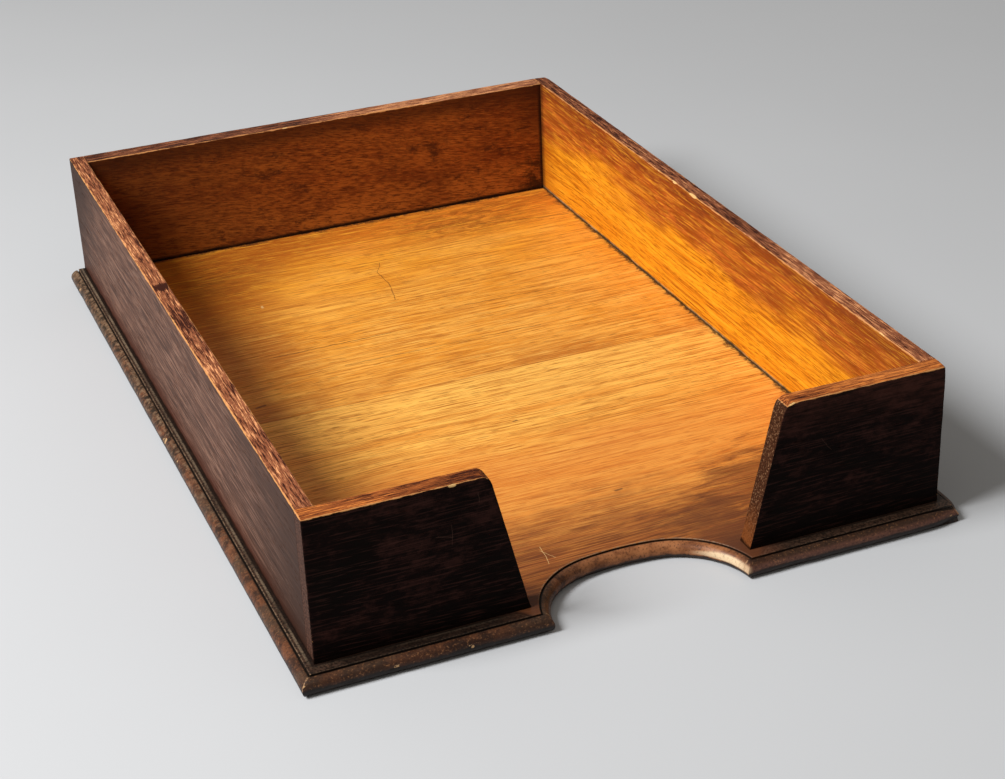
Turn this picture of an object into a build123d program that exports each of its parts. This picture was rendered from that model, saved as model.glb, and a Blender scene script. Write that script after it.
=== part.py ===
from build123d import *
import os
from math import acos, asin, degrees, sqrt

# Wooden filing tray, in millimetres. X runs across the tray, Y from the open front to the
# back and Z up. The origin is on the underside, in the middle of the tray.

# The case: two sides, a back and two short front returns
case_width = 255.5
case_depth = 379.5
wall_height = 59.0
side_thickness = 7.2
back_thickness = 9.4
return_thickness = 7.8
arris_radius = 0.7

# The base: two boards glued edge to edge, wider than the case on three edges
base_thickness = 7.0
side_overhang = 7.5
front_overhang = 9.2
front_board_depth = 189.0

# The moulded edge, from the quirk outwards to the nose
nose_width = 4.3
quirk_width = 0.7
quirk_depth = 1.2
nose_drop = 0.4
nose_tuck = 2.0

# The finger cut-out: a three-centred arch, measured along the quirk
cutout_depth = 23.6
crown_radius = 96.0
shoulder_radius = 34.3
shoulder_spread = 9.55

# The front returns slope back from the foot to the top
foot_margin = 3.0
return_slope = 13.8
return_corner_radius = 4.0

# Cut brads: tapering iron nails stamped from sheet, with a lip for a head
brad_sheet = 1.3
brad_width = 2.3
brad_tip_width = 1.0
brad_lip = 0.8
brad_lip_height = 1.1
brad_sunk = 0.6
brad_clearance = 0.05

# Brads driven up through the base into the walls
base_brad_length = 25.4
side_brad_margin = 32.0
back_brad_margin = 34.0
back_brad_count = 3
return_brad_margin = 20.0

# Shorter brads across the corner joints
corner_brad_length = 19.0
corner_brad_margin = 11.0
corner_brad_count = 3

# How far a cutter stands clear of the wood that it cuts
cutter_overrun = 1.5

# Places worked out from the sizes above
base_width = case_width + 2 * side_overhang
base_depth = case_depth + front_overhang
base_front = -base_depth / 2
rear_face = base_depth / 2
case_front = base_front + front_overhang
board_joint = base_front + front_board_depth
half_case = case_width / 2
wall_top = base_thickness + wall_height

# The arch on the quirk: the crown's arc passes into each shoulder's arc at one angle
crown_centre = case_front + cutout_depth - crown_radius
centre_gap = crown_radius - shoulder_radius
shoulder_centre = crown_centre + sqrt(centre_gap**2 - shoulder_spread**2)
crown_half_angle = degrees(asin(shoulder_spread / centre_gap))
arch_half_chord = shoulder_spread + sqrt(shoulder_radius**2 - (case_front - shoulder_centre) ** 2)
foot_half_gap = arch_half_chord + foot_margin


def moulding_waste():
    """The wood cut away outside the moulded edge. Local X points out of the board from
    its widest line and local Y points up from the underside."""
    quirk_edge = -nose_width
    nose_start = quirk_edge + quirk_width
    nose_top = base_thickness - nose_drop
    nose_radius = nose_width - quirk_width
    belly = nose_top - nose_radius
    above = base_thickness + cutter_overrun
    below = -cutter_overrun
    quirk = Polyline(
        (quirk_edge, above),
        (quirk_edge, base_thickness - quirk_depth),
        (nose_start, base_thickness - quirk_depth),
        (nose_start, nose_top),
    )
    ovolo = CenterArc((nose_start, belly), nose_radius, 90, -90)
    undercut = TangentArc((0, belly), (-nose_tuck, 0), tangent=(0, -1))
    outside = Polyline(
        (-nose_tuck, 0),
        (-nose_tuck, below),
        (cutter_overrun, below),
        (cutter_overrun, above),
        (quirk_edge, above),
    )
    return make_face(quirk + ovolo + undercut + outside)


def straight_waste(corner, outwards, along, length):
    """The waste of a straight moulded edge that starts at corner and runs along."""
    plane = Plane(origin=corner, x_dir=outwards, z_dir=along)
    return extrude(plane * moulding_waste(), amount=length)


def arc_waste(centre, radius, start_angle, sweep_angle):
    """The waste of a moulded edge on the hollow side of an arc, turned about its centre.
    Angles are in degrees from +X, and radius is that of the quirk."""
    plane = Plane(origin=(radius - nose_width, 0, 0), x_dir=(-1, 0, 0), z_dir=(0, 1, 0))
    section = Rot(0, 0, start_angle) * (plane * moulding_waste())
    return Pos(*centre) * revolve(section, Axis.Z, sweep_angle)


def shoulder_sweep():
    """The angle that a shoulder's moulding turns through before it is clear of the base."""
    beyond = base_front - cutter_overrun - nose_width - shoulder_centre
    return degrees(acos(beyond / shoulder_radius)) - crown_half_angle


def cutout_waste():
    """Everything that the finger cut-out removes from the base."""
    right = (shoulder_spread, shoulder_centre, 0)
    left = (-shoulder_spread, shoulder_centre, 0)
    crown = (0, crown_centre, 0)
    turn = shoulder_sweep()
    shoulder_top = 90 - crown_half_angle
    rings = (
        arc_waste(crown, crown_radius, shoulder_top, 2 * crown_half_angle)
        + arc_waste(right, shoulder_radius, shoulder_top - turn, turn)
        + arc_waste(left, shoulder_radius, 180 - shoulder_top, turn)
    )
    inset = nose_width + cutter_overrun / 2
    inner_crown = crown_radius - inset
    inner_shoulder = shoulder_radius - inset
    reach = inner_shoulder + shoulder_spread
    low = base_front - crown_radius
    arch = make_face(
        CenterArc((0, crown_centre), inner_crown, shoulder_top, 2 * crown_half_angle)
        + CenterArc((shoulder_spread, shoulder_centre), inner_shoulder, 0, shoulder_top)
        + CenterArc((-shoulder_spread, shoulder_centre), inner_shoulder, 180, -shoulder_top)
        + Polyline((reach, shoulder_centre), (reach, low), (-reach, low), (-reach, shoulder_centre))
    )
    tall = base_thickness + 2 * cutter_overrun
    return rings + Pos(0, 0, -cutter_overrun) * extrude(arch, amount=tall, dir=(0, 0, 1))


def brad_body(length, extra):
    """A cut brad along +Z with its head at the origin, grown all round by extra. Its taper
    lies in the XZ plane, and the lip of its head stands out towards +X."""
    head = brad_width / 2 + extra
    tip = brad_tip_width / 2 + extra
    lip = head + brad_lip
    outline = Polyline(
        (-head, 0),
        (lip, 0),
        (lip, brad_lip_height / 2),
        (head, brad_lip_height),
        (tip, length + extra),
        (-tip, length + extra),
        (-head, 0),
    )
    return extrude(Plane.XZ * make_face(outline), amount=brad_sheet / 2 + extra, both=True)


def brad(length):
    """One brad, punched below the face that it was driven through."""
    return Pos(0, 0, brad_sunk) * brad_body(length, 0)


def brad_hole(length):
    """The hole that takes one brad, open at the face."""
    width = brad_width + brad_lip + 2 * brad_clearance
    thickness = brad_sheet + 2 * brad_clearance
    mouth = Pos(brad_lip / 2, 0, 0) * Box(width, thickness, 2 * brad_sunk)
    return mouth + Pos(0, 0, brad_sunk) * brad_body(length, brad_clearance)


def spaced(start, end, count):
    """Count places from start to end, evenly spaced."""
    step = (end - start) / (count - 1)
    return [start + step * i for i in range(count)]


def placed(shape, places):
    """One copy of shape at each place."""
    return [place * shape for place in places]


def both_halves(shapes):
    """The shapes of the left half of the tray, and their mirror images."""
    return shapes + [mirror(shape, about=Plane.YZ) for shape in shapes]


def side_brad_places():
    """Two brads in each base board, up the middle of the left side."""
    x = -half_case + side_thickness / 2
    first = case_front + return_thickness + side_brad_margin
    ends = spaced(first, board_joint - side_brad_margin, 2)
    ends += spaced(board_joint + side_brad_margin, rear_face - side_brad_margin, 2)
    return [Pos(x, y, 0) * Rot(0, 0, 90) for y in ends]


def back_brad_places():
    """A row of brads up the middle of the back."""
    end = half_case - side_thickness - back_brad_margin
    y = rear_face - back_thickness / 2
    return [Pos(x, y, 0) for x in spaced(-end, end, back_brad_count)]


def return_brad_places():
    """Two brads up the middle of the left front return."""
    y = case_front + return_thickness / 2
    inner = -foot_half_gap - return_brad_margin
    return [Pos(x, y, 0) for x in spaced(-half_case + return_brad_margin, inner, 2)]


def corner_heights():
    """The brads of one corner, from low to high."""
    low = base_thickness + corner_brad_margin
    return spaced(low, wall_top - corner_brad_margin, corner_brad_count)


def front_corner_places():
    """Brads driven back through the left return into the end of the left side."""
    x = -half_case + side_thickness / 2
    return [Pos(x, case_front, z) * Rot(-90, 0, 0) for z in corner_heights()]


def rear_corner_places():
    """Brads driven through the left side into the end of the back."""
    y = rear_face - back_thickness / 2
    return [Pos(-half_case, y, z) * Rot(0, 90, 0) * Rot(0, 0, 90) for z in corner_heights()]


def base_boards():
    """The base, moulded in one run of the plane, then parted at the glue joint."""
    blank = Pos(0, 0, base_thickness / 2) * Box(base_width, base_depth, base_thickness)
    beyond = 2 * cutter_overrun
    front_left = (-base_width / 2, base_front - cutter_overrun, 0)
    left = straight_waste(front_left, (-1, 0, 0), (0, 1, 0), base_depth + beyond)
    front_right = (base_width / 2 + cutter_overrun, base_front, 0)
    front = straight_waste(front_right, (0, -1, 0), (-1, 0, 0), base_width + beyond)
    moulded = blank - left - mirror(left, about=Plane.YZ) - front - cutout_waste()
    hole = brad_hole(base_brad_length)
    holes = both_halves(placed(hole, side_brad_places() + return_brad_places()))
    moulded = moulded - holes - placed(hole, back_brad_places())
    parts = split(moulded, bisect_by=Plane(origin=(0, board_joint, 0), z_dir=(0, 1, 0)), keep=Keep.BOTH)
    return sorted(parts.solids(), key=lambda board: board.center().Y)


def wall(thickness, length):
    """A straight wall along +Y from the origin, with its two top arrises eased."""
    section = Rectangle(thickness, wall_height, align=(Align.CENTER, Align.MIN))
    section = fillet(section.vertices().group_by(Axis.Y)[-1], arris_radius)
    upright = Plane(origin=(0, 0, 0), x_dir=(-1, 0, 0), z_dir=(0, 1, 0))
    return extrude(upright * section, amount=length)


def left_side():
    """The left side, from behind the front return to the rear face."""
    start = case_front + return_thickness
    x = -half_case + side_thickness / 2
    board = Pos(x, start, base_thickness) * wall(side_thickness, rear_face - start)
    corner_places = front_corner_places() + rear_corner_places()
    holes = placed(brad_hole(base_brad_length), side_brad_places())
    holes += placed(brad_hole(corner_brad_length), corner_places)
    return board - holes


def back():
    """The back, held between the sides and flush with their ends."""
    length = case_width - 2 * side_thickness
    x = half_case - side_thickness
    y = rear_face - back_thickness / 2
    board = Pos(x, y, base_thickness) * Rot(0, 0, 90) * wall(back_thickness, length)
    holes = placed(brad_hole(base_brad_length), back_brad_places())
    holes += both_halves(placed(brad_hole(corner_brad_length), rear_corner_places()))
    return board - holes


def left_front_return():
    """The left front return: a board that laps the end of the side and slopes to its foot."""
    outline = make_face(
        Polyline(
            (-half_case, base_thickness),
            (-foot_half_gap, base_thickness),
            (-foot_half_gap - return_slope, wall_top),
            (-half_case, wall_top),
            (-half_case, base_thickness),
        )
    )
    inner_top = outline.vertices().sort_by(Axis.Y)[-2:].sort_by(Axis.X)[-1]
    outline = fillet(inner_top, return_corner_radius)
    front = Plane(origin=(0, case_front, 0), x_dir=(1, 0, 0), z_dir=(0, -1, 0))
    board = extrude(front * outline, amount=-return_thickness)
    eased = board.edges().filter_by(Axis.X).group_by(Axis.Z)[-1]
    board = fillet(eased, arris_radius)
    holes = placed(brad_hole(base_brad_length), return_brad_places())
    holes += placed(brad_hole(corner_brad_length), front_corner_places())
    return board - holes


def build():
    """Every piece of the tray by name."""
    front_board, rear_board = base_boards()
    side = left_side()
    front_return = left_front_return()
    groups = {
        "side_brads": placed(brad(base_brad_length), side_brad_places()),
        "return_brads": placed(brad(base_brad_length), return_brad_places()),
        "front_corner_brads": placed(brad(corner_brad_length), front_corner_places()),
        "rear_corner_brads": placed(brad(corner_brad_length), rear_corner_places()),
    }
    pieces = {
        "front_base_board": front_board,
        "rear_base_board": rear_board,
        "left_side": side,
        "right_side": mirror(side, about=Plane.YZ),
        "back": back(),
        "left_front_return": front_return,
        "right_front_return": mirror(front_return, about=Plane.YZ),
        "back_brads": Compound(placed(brad(base_brad_length), back_brad_places())),
    }
    for name, copies in groups.items():
        pieces["left_" + name] = Compound(copies)
        pieces["right_" + name] = Compound([mirror(c, about=Plane.YZ) for c in copies])
    return pieces


os.makedirs("parts", exist_ok=True)
for name, piece in build().items():
    export_step(piece, f"parts/{name}.step")
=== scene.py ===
import math

import bmesh
import bpy
import numpy as np
from mathutils import Euler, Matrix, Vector, noise


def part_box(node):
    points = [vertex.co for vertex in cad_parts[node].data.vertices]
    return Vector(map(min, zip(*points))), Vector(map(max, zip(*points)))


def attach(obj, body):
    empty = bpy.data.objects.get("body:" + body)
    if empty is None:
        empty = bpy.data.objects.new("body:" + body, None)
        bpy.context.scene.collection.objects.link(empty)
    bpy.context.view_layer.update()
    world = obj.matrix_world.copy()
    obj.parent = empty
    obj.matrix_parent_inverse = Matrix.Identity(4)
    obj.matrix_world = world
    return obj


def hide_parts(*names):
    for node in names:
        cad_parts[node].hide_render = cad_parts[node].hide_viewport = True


# An old desk tray in dark stained wood, dressed in worn boards. X to the right, Y to the
# back and Z up. Lengths are in millimetres, and MM takes them to metres.

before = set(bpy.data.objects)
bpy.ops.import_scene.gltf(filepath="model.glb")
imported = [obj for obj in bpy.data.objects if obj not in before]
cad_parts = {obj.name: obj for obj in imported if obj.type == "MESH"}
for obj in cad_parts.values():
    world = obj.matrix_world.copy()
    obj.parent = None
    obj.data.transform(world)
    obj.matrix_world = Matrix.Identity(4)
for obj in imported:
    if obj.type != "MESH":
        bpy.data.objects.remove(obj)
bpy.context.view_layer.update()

MM = 0.001


def extent(node):
    """A node's lowest and highest corner as arrays."""
    low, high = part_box(node)
    return np.array(low) / MM, np.array(high) / MM


# Places taken from the frame
base_low, base_high = extent("front_base_board")
side_low, side_high = extent("left_side")
return_low, return_high = extent("left_front_return")
BASE_TOP = base_high[2]
WALL_TOP = side_high[2]
JOINT = base_high[1]
BASE_FRONT = base_low[1]
REAR = extent("rear_base_board")[1][1]
HALF_BASE = base_high[0]
HALF_CASE = -side_low[0]
INNER_SIDE = -side_high[0]
INNER_BACK = extent("back")[0][1]
CASE_FRONT = return_low[1]
FOOT = -return_high[0]
SIDE_THICKNESS = HALF_CASE - INNER_SIDE

# The moulded edge, from the quirk outwards
NOSE_WIDTH = 4.3
QUIRK_WIDTH = 0.7
QUIRK_DEPTH = 1.2
NOSE_DROP = 0.4
NOSE_TUCK = 2.0
NOSE_CORE_OUT = 1.3
QUIRK_X = HALF_BASE - NOSE_WIDTH
QUIRK_Y = BASE_FRONT + NOSE_WIDTH

# The finger cut-out, a three-centred arch along the quirk
CUTOUT_DEPTH = 23.6
CROWN_RADIUS = 96.0
SHOULDER_RADIUS = 34.3
SHOULDER_SPREAD = 9.55
CROWN_Y = CASE_FRONT + CUTOUT_DEPTH - CROWN_RADIUS
CENTRE_GAP = CROWN_RADIUS - SHOULDER_RADIUS
SHOULDER_Y = CROWN_Y + math.sqrt(CENTRE_GAP**2 - SHOULDER_SPREAD**2)
CROWN_HALF_ANGLE = math.asin(SHOULDER_SPREAD / CENTRE_GAP)

# The front returns
RETURN_SLOPE = 13.8
RETURN_CORNER = 4.0

# Grid spacing: close together by an arris, wider on the flats
NEAR_ARRIS = np.array([0, 0.1, 0.22, 0.38, 0.58, 0.85, 1.2, 1.7, 2.4])
ALONG_ARRIS = 1.3
ACROSS_FLAT = 3.0
ON_REAR_BOARD = 2.4
STRAIGHT_COLUMNS = 76
SHOULDER_COLUMNS = 34
CROWN_COLUMNS = 14
FRONT_ROWS = 74
REAR_COLUMNS = 90
OVOLO_STEPS = 13
TUCK_STEPS = 8

# How wear comes and goes: the size of the bumps of its noise, and the noise's seed
WALL_SWELL = (14, 3.1)
WALL_NIBBLE = (3.5, 7.7)
NOSE_SWELL = (16, 5.3)
NOSE_NIBBLE = (3, 9.1)

# Wear: the radius of a crisp and of a worn arris, how deep the nose is worn and the most of
# the way to its core, how far the rubbing reaches from an arris, how much an upright one
# gets, and how deep a chip shows bare wood all over
CRISP = 0.1
WORN = 0.62
NOSE_WEAR = 0.1
MOST_WEAR = 0.75
RUB_REACH = 0.9
UPRIGHT_RUB = 0.45
BARE_DEPTH = 0.3

# The joint of the two base boards: how far their arrises are drawn down, and how wide
SEAM_DROP = 0.12
SEAM_REACH = 0.25

# Points closer than WELD are one, a place within TOUCH of a plane lies on it, FAR is further
# than any arris, TINY keeps a division from 0, and an edge is shaded smooth up to SMOOTH_TO
WELD = 0.002
TOUCH = 0.01
FAR = 1000
TINY = 1e-9
SMOOTH_TO = math.radians(40)

# The stains outside: dark, light and in the streaks. The fronts are the darkest.
SIDE_STAIN = ((0.078, 0.033, 0.02), (0.142, 0.065, 0.041), (0.32, 0.18, 0.125))
FRONT_STAIN = ((0.008, 0.0025, 0.0019), (0.02, 0.0063, 0.0045), (0.045, 0.016, 0.011))

# How the tops are rubbed: the colours of half bare and bare wood, the level, its slopes as an
# axis, where each starts and ends, and how much it adds, and then patches as x, y and reach
# and how much each adds
PINK_WOOD = ((0.29, 0.094, 0.041), (0.86, 0.385, 0.165))
ORANGE_WOOD = ((0.28, 0.075, 0.02), (0.75, 0.24, 0.05))
SIDE_PATCHES = [
    (-124, 23, 5, -0.3),
    (-124, -12, 16, -0.1),
    (-124, -24, 40, -0.05),
    (124, -150, 110, 0.04),
    (-124, -160, 80, -0.05),
]
SIDE_RUBBING = (PINK_WOOD, 0.01, [(0, -60, 60, -0.06), (1, -20, -110, 0.02)], SIDE_PATCHES)
BACK_RUBBING = (PINK_WOOD, -0.09, [(0, -20, 30, 0.14)], [])
FRONT_SLOPES = [(0, -100, -66, -0.07), (0, 0, 10, 0.07), (0, 68, 102, 0.07)]
FRONT_RUBBING = (ORANGE_WOOD, -0.01, FRONT_SLOPES, [])

# The mitres of the moulding in plan: the two front corners and the two horns
MITRES = [
    ((-131.0, -190.1), (-135.3, -194.4)),
    ((131.0, -190.1), (135.3, -194.4)),
    ((-41.0, -190.1), (-36.0, -194.4)),
    ((41.0, -190.1), (36.0, -194.4)),
]

# The knotty patches of the floor: x and y of the middle, the reach along X and along Y, and
# how strong
KNOTS = [(64, 163, 60, 30, 0.85), (-74, 152, 42, 34, 0.8)]

# Colours of worn and fresh wood, of dust and of the painted shade in the creases at the foot of the walls,
# and how strong the relief of the grain is
RUBBED_ARRIS = (0.62, 0.28, 0.095)
FRESH_WALL = (0.8, 0.5, 0.2)
FRESH_BASE = (0.5, 0.3, 0.14)
DUST = (0.23, 0.165, 0.105)
CREASE_SHADE = (0.006, 0.003, 0.002)
RELIEF = 0.8

# The room, in metres and watts: the floor's half width, the lamp and the camera, with its
# turn in degrees and its lens in millimetres
FLOOR_HALF = 4.0
LAMP_PLACE = (-1.25, -0.18, 1.3)
LAMP_AIM = (0, 0, 0.02)
LAMP_SIZE = 0.8
LAMP_POWER = 42.0
SKY_COLOUR = (1.0, 0.95, 0.88, 1.0)
SKY_LEVEL = 0.25
CAMERA_PLACE = (-0.27605, -0.75709, 0.41948)
CAMERA_TURN = (62.3708, 2.1281, -22.451)
CAMERA_LENS = 72.674
CAMERA_NEAR = 0.05
SENSOR = 36.0


def spread(low, high, step):
    """Places from low to high: close together by both ends, then about a step apart."""
    start, end = low + NEAR_ARRIS[-1], high - NEAR_ARRIS[-1]
    count = max(2, round((end - start) / step) + 1)
    middle = np.linspace(start, end, count)[1:-1]
    return np.concatenate([low + NEAR_ARRIS, middle, high - NEAR_ARRIS[::-1]])


def wander(points, size, seed):
    """Smooth noise from about -1 to 1 at each point, its bumps about a size apart."""
    shift = Vector((seed, -seed, 2 * seed))
    return np.array([noise.noise(Vector(p) / size + shift) for p in points])


def dents(points, top, places):
    """How deep the given dents reach at each point. A place is x, y and the depth below the
    top, then the dent's reach along X, along Y and up, and how deep it is."""
    depth = np.zeros(len(points))
    for x, y, below, long_x, long_y, high, deep in places:
        gap = (points - (x, y, top - below)) / (long_x, long_y, high)
        depth += deep * np.exp(-np.sum(gap**2, axis=1))
    return depth


def box_shell(xs, ys, zs):
    """Points and quads of a box's surface, with its grid lines at the given places."""
    sizes = (len(xs), len(ys), len(zs))
    i, j, k = np.indices(sizes)
    shell = (i == 0) | (i == sizes[0] - 1) | (j == 0) | (j == sizes[1] - 1)
    shell |= (k == 0) | (k == sizes[2] - 1)
    number = np.full(sizes, -1)
    number[shell] = np.arange(shell.sum())
    points = np.stack([xs[i[shell]], ys[j[shell]], zs[k[shell]]], axis=1)
    quads = []
    for axis in range(3):
        for end in (0, -1):
            sheet = np.take(number, end, axis=axis)
            if (end == -1) == (axis == 1):
                sheet = sheet.T
            quads.append(grid_quads(sheet))
    return points, np.concatenate(quads)


def grid_quads(sheet):
    """The quads of a rectangular grid of point numbers."""
    corners = (sheet[:-1, :-1], sheet[1:, :-1], sheet[1:, 1:], sheet[:-1, 1:])
    return np.stack([corner.ravel() for corner in corners], axis=1)


def eased(points, low, high, radii):
    """A box's surface points moved in, so that its arrises are rounded. Each point has
    its own radius along each axis, so that wear comes and goes along an arris."""
    core = np.clip(points, low + radii, high - radii)
    out = (points - core) / radii
    length = np.maximum(np.linalg.norm(out, axis=1, keepdims=True), 1)
    return core + out / length * radii


def new_object(name, data):
    """An object in the scene with the given data."""
    made = bpy.data.objects.new(name, data)
    bpy.context.scene.collection.objects.link(made)
    return made


def add_piece(name, points, faces, values, material, slot, *nodes):
    """A mesh piece with its attributes, which stands for the given nodes."""
    mesh = bpy.data.meshes.new(name)
    mesh.from_pydata((points * MM).tolist(), [], [list(face) for face in faces])
    for key, numbers in values.items():
        layer = mesh.attributes.new(key, "FLOAT", "POINT")
        layer.data.foreach_set("value", np.asarray(numbers, np.float32))
    made = bmesh.new()
    made.from_mesh(mesh)
    bmesh.ops.remove_doubles(made, verts=made.verts, dist=WELD * MM)
    bmesh.ops.recalc_face_normals(made, faces=made.faces)
    made.to_mesh(mesh)
    made.free()
    mesh.shade_smooth()
    mesh.set_sharp_from_angle(angle=SMOOTH_TO)
    mesh.materials.append(material)
    piece = new_object(name, mesh)
    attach(piece, "root")
    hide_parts(*nodes)
    return piece


# Fresh chips that show pale wood: x, y, depth below the top, reach along X, along Y and up,
# and how deep
CHIPS = [
    (120.5, 28.9, 0, 0.8, 2.2, 0.8, 0.5),
    (120.5, 10.2, 0, 0.9, 3.0, 0.9, 0.6),
    (120.5, 45.5, 0, 0.6, 1.2, 0.6, 0.3),
    (120.5, -150.6, 0, 0.6, 1.8, 0.6, 0.4),
    (119.4, -176.5, 0, 1.2, 1.0, 0.8, 0.4),
    (-62, -185.1, 0.5, 2.2, 0.7, 0.7, 0.35),
    (48, -185.1, 0, 1.6, 0.7, 0.8, 0.35),
    (-20, 184.9, 0, 1.6, 0.6, 0.6, 0.3),
    (55, 184.9, 0, 1.2, 0.6, 0.6, 0.3),
]

# Old dents that are as dark as the wood round them, given in the same way
DENTS = [
    (-120.5, 163, 0, 1.6, 3.0, 1.6, 0.6),
    (-120.5, 146, 0, 1.2, 2.0, 1.2, 0.5),
    (-120.5, 20, 0, 1.2, 6.0, 1.2, 0.3),
    (120.5, -40, 0, 1.2, 8.0, 1.2, 0.35),
    (127.7, -185, 0, 2.5, 2.5, 2.5, 0.8),
    (127.7, 194, 0, 4.0, 4.0, 4.0, 1.2),
    (-127.7, -185, 28, 2.0, 2.0, 2.5, 0.3),
    (60, 194, 0, 5.0, 2.0, 2.0, 0.5),
    (-70, 194, 0, 4.0, 2.0, 2.0, 0.4),
]


def glued_return(points, low, high):
    """The part of a left return's surface that is butted against the end of its side."""
    lapped = points[:, 0] < low[0] + SIDE_THICKNESS
    behind = points[:, 1] > (low[1] + high[1]) / 2
    return {1: lapped & behind}


def glued_side(points, low, high):
    """The front end of a side is butted against its return."""
    return {1: points[:, 1] < (low[1] + high[1]) / 2}


def glued_back(points, low, high):
    """Both ends of the back are butted against the sides."""
    return {0: np.full(len(points), True)}


def worn_radii(points, glued):
    """Arris radii at each point of a wall board, crisp where a neighbour is glued on."""
    swell = wander(points, *WALL_SWELL)
    nibble = wander(points, *WALL_NIBBLE)
    worn = WORN * (1 + 0.45 * swell + 0.3 * nibble)
    worn += dents(points, WALL_TOP, CHIPS) + dents(points, WALL_TOP, DENTS)
    foot = np.clip((points[:, 2] - BASE_TOP) / 4, 0, 1)
    worn = CRISP + foot * np.maximum(worn - CRISP, CRISP)
    radii = np.repeat(worn[:, None], 3, axis=1)
    for axis, mask in glued.items():
        radii[mask, axis] = CRISP / 4
    return radii


def arris_wear(points, low, high, glued):
    """How near each point lies to an arris that hands have worn: 1 on a top arris, less
    on an upright one and 0 away from them."""
    gaps = np.minimum(points - low, high - points)
    for axis, mask in glued.items():
        gaps[mask, axis] = FAR
    nearest = np.minimum(gaps[:, 0], gaps[:, 1])
    top = np.maximum(high[2] - points[:, 2], nearest)
    upright = np.maximum(gaps[:, 0], gaps[:, 1])
    return np.maximum(np.exp(-top / RUB_REACH), UPRIGHT_RUB * np.exp(-upright / RUB_REACH))


def on_plane(points, axis, place):
    """1 at the points that lie on a plane, 0 elsewhere."""
    return (np.abs(points[:, axis] - place) < TOUCH).astype(float)


def chipped(points, top, chips):
    """How much fresh pale wood shows at each point."""
    return np.clip(dents(points, top, chips) / BARE_DEPTH, 0, 1)


def wall_board(node, glue, inside, material):
    """A wall board that wears along its arrises. Inside is the axis and the place of its
    inner face."""
    low, high = extent(node)
    steps = [ACROSS_FLAT] * 3
    steps[int(np.argmax(high - low))] = ALONG_ARRIS
    places = [spread(low[a], high[a], steps[a]) for a in range(3)]
    points, quads = box_shell(*places)
    glued = glue(points, low, high)
    values = {
        "wear": arris_wear(points, low, high, glued),
        "inside": on_plane(points, *inside),
        "top": on_plane(points, 2, WALL_TOP),
        "chip": chipped(points, WALL_TOP, CHIPS),
    }
    shaped = eased(points, low, high, worn_radii(points, glued))
    return add_piece(node + "_worn", shaped, quads, values, material, "case_wood", node)


def return_board(node, material):
    """A front return: a board whose inner end slopes to its foot and is rounded on top."""
    low, high = extent("left_front_return")
    places = [
        spread(low[0], high[0], ALONG_ARRIS),
        spread(low[1], high[1], ACROSS_FLAT),
        spread(low[2], high[2], ALONG_ARRIS * 1.5),
    ]
    points, quads = box_shell(*places)
    side = -1 if node.startswith("right") else 1
    placed = points * (side, 1, 1)
    glued = glued_return(points, low, high)
    values = {
        "wear": arris_wear(points, low, high, glued),
        "inside": on_plane(points, 1, high[1]),
        "top": on_plane(points, 2, WALL_TOP),
        "end": on_plane(points, 0, high[0]),
        "chip": chipped(placed, WALL_TOP, CHIPS),
    }
    shaped = eased(points, low, high, worn_radii(placed, glued))
    ahead = shaped[:, 0] - (high[0] - RETURN_CORNER)
    above = shaped[:, 2] - (high[2] - RETURN_CORNER)
    corner = (ahead > 0) & (above > 0)
    longest = np.maximum(ahead, above)
    pull = longest / np.maximum(np.hypot(ahead, above), TINY)
    shaped[corner, 0] += (ahead * (pull - 1))[corner]
    shaped[corner, 2] += (above * (pull - 1))[corner]
    share = (shaped[:, 0] - low[0]) / (high[0] - low[0])
    height = (shaped[:, 2] - BASE_TOP) / (WALL_TOP - BASE_TOP)
    shaped[:, 0] -= RETURN_SLOPE * share * height
    shaped[:, 0] *= side
    return add_piece(node + "_worn", shaped, quads, values, material, "case_wood", node)


def moulding_profile():
    """The moulded edge in section: how far outside the quirk, and how high."""
    nose_top = BASE_TOP - NOSE_DROP
    radius = NOSE_WIDTH - QUIRK_WIDTH
    belly = nose_top - radius
    floor = BASE_TOP - QUIRK_DEPTH
    top = [(-0.9, BASE_TOP), (-0.5, BASE_TOP), (-0.25, BASE_TOP)]
    quirk = [(-0.08, BASE_TOP - 0.03), (0, BASE_TOP - 0.12), (0, BASE_TOP - 0.5)]
    quirk += [(0, floor), (QUIRK_WIDTH / 2, floor), (QUIRK_WIDTH, floor), (QUIRK_WIDTH, floor + 0.4)]
    angles = np.radians(np.linspace(90, 0, OVOLO_STEPS))
    ovolo = [(QUIRK_WIDTH + radius * math.cos(a), belly + radius * math.sin(a)) for a in angles]
    turn = (NOSE_TUCK**2 + belly**2) / (2 * NOSE_TUCK)
    sweep = math.asin(belly / turn)
    under = np.linspace(0, sweep, TUCK_STEPS)[1:]
    centre = NOSE_WIDTH - turn
    tuck = [(centre + turn * math.cos(a), belly - turn * math.sin(a)) for a in under]
    floor_strip = [(NOSE_WIDTH - NOSE_TUCK - 0.6, 0), (0, 0)]
    return top + quirk + ovolo + tuck + floor_strip


def front_line(out):
    """The front edge in plan, a distance outside the quirk, from the left corner round
    the finger cut-out to the right corner. Its mitres are exact."""
    left = -QUIRK_X - out
    front = QUIRK_Y - out
    shoulder = SHOULDER_RADIUS - out
    crown = CROWN_RADIUS - out
    rise = math.asin((front - SHOULDER_Y) / shoulder)
    horn = -SHOULDER_SPREAD - shoulder * math.cos(rise)
    straight = [(x, front) for x in np.linspace(left, horn, STRAIGHT_COLUMNS)]
    meeting = math.pi / 2 + CROWN_HALF_ANGLE
    turns = np.linspace(math.pi - rise, meeting, SHOULDER_COLUMNS)[1:]
    arch = [(-SHOULDER_SPREAD + shoulder * math.cos(a), SHOULDER_Y + shoulder * math.sin(a)) for a in turns]
    turns = np.linspace(meeting, math.pi / 2, CROWN_COLUMNS)[1:]
    arch += [(crown * math.cos(a), CROWN_Y + crown * math.sin(a)) for a in turns]
    half = np.array(straight + arch)
    return np.concatenate([half, half[-2::-1] * (-1, 1)])


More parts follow.
